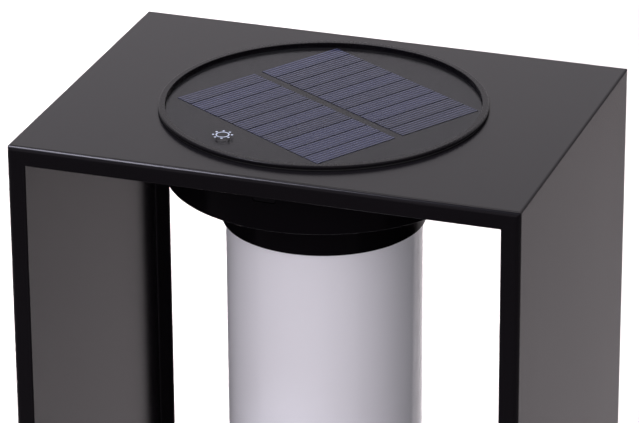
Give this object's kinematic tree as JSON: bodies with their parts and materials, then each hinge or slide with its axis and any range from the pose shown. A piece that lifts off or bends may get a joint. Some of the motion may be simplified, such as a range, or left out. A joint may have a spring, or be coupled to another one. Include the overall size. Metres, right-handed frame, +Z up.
{
  "type": "solar garden bollard light",
  "caption": "Portal frame of folded sheet with a round solar lamp head hung in its top panel: cover glass over cells, drum, collar and opal diffuser tube.",
  "frame": {"origin": "centre of the frame's footprint, on the ground plane under the base panel", "axes": "+X across the wide front, +Y to the back, +Z up"},
  "size_m": [0.27, 0.2, 0.5027],
  "materials": {
    "powder_coat": "fine satin powder coat, charcoal black",
    "seal_rubber": "matt black silicone",
    "black_plastic": "satin moulded black plastic",
    "cover_glass": "clear tempered glass with a dark border print",
    "white_ink": "printed ink",
    "solar_cell": "dark blue silicon with fine silver fingers",
    "cell_backing": "dark laminate board",
    "carbon_ink": "printed conductive ink",
    "circuit_board": "green solder mask",
    "board_parts": "moulded component bodies",
    "screw_steel": "plain stainless steel",
    "battery_wrap": "shrink sleeve",
    "port_rubber": "matt black rubber",
    "led_aluminium": "white-coated aluminium core board",
    "led_phosphor": "yellow phosphor",
    "white_plastic": "white moulded plastic",
    "clear_rubber": "translucent silicone",
    "opal_plastic": "satin opal acrylic",
    "lead_sleeve": "extruded lead sleeve"
  },
  "bodies": {
    "frame": {"top_panel": "powder_coat", "left_panel": "powder_coat", "right_panel": "powder_coat", "base_panel": "powder_coat"},
    "seat": {"seat_gasket": "seal_rubber"},
    "head": {"rim_ring": "black_plastic", "cover_glass": "cover_glass", "touch_icon": "white_ink", "cell_string_a": "solar_cell", "cell_string_b": "solar_cell", "cell_backing": "cell_backing", "touch_electrode": "carbon_ink", "touch_board": "circuit_board", "drum": "black_plastic", "drum_seal": "seal_rubber", "drum_screws": "screw_steel", "main_board": "circuit_board", "board_parts": "board_parts", "board_screws": "screw_steel", "battery_cells": "battery_wrap", "battery_cradle": "black_plastic", "battery_contacts": "screw_steel", "usb_board": "circuit_board", "usb_socket": "screw_steel", "usb_screws": "screw_steel", "led_plate": "led_aluminium", "led_chips": "led_phosphor", "led_screws": "screw_steel", "reflector": "white_plastic", "collar": "black_plastic", "collar_screws": "screw_steel", "diffuser_seal": "clear_rubber", "diffuser": "opal_plastic", "solar_lead": "lead_sleeve", "battery_lead": "lead_sleeve", "led_lead": "lead_sleeve", "usb_lead": "lead_sleeve", "touch_lead": "lead_sleeve"},
    "port_cover": {"port_cover": "port_rubber"}
  },
  "joints": [
    {"name": "head_lift", "type": "slide", "parent": "frame", "child": "seat", "axis": [0, 0, 1], "range_m": [0, 0.27]},
    {"name": "head_turn", "type": "hinge", "parent": "seat", "child": "head", "pos_m": [0, 0, 0.5], "axis": [0, 0, 1], "continuous": true},
    {"name": "port_cover_swing", "type": "hinge", "parent": "head", "child": "port_cover", "pos_m": [-0.00355, -0.08132, 0.4899], "axis": [-0.999, 0.0436, 0], "range_deg": [0, 100]}
  ]
}
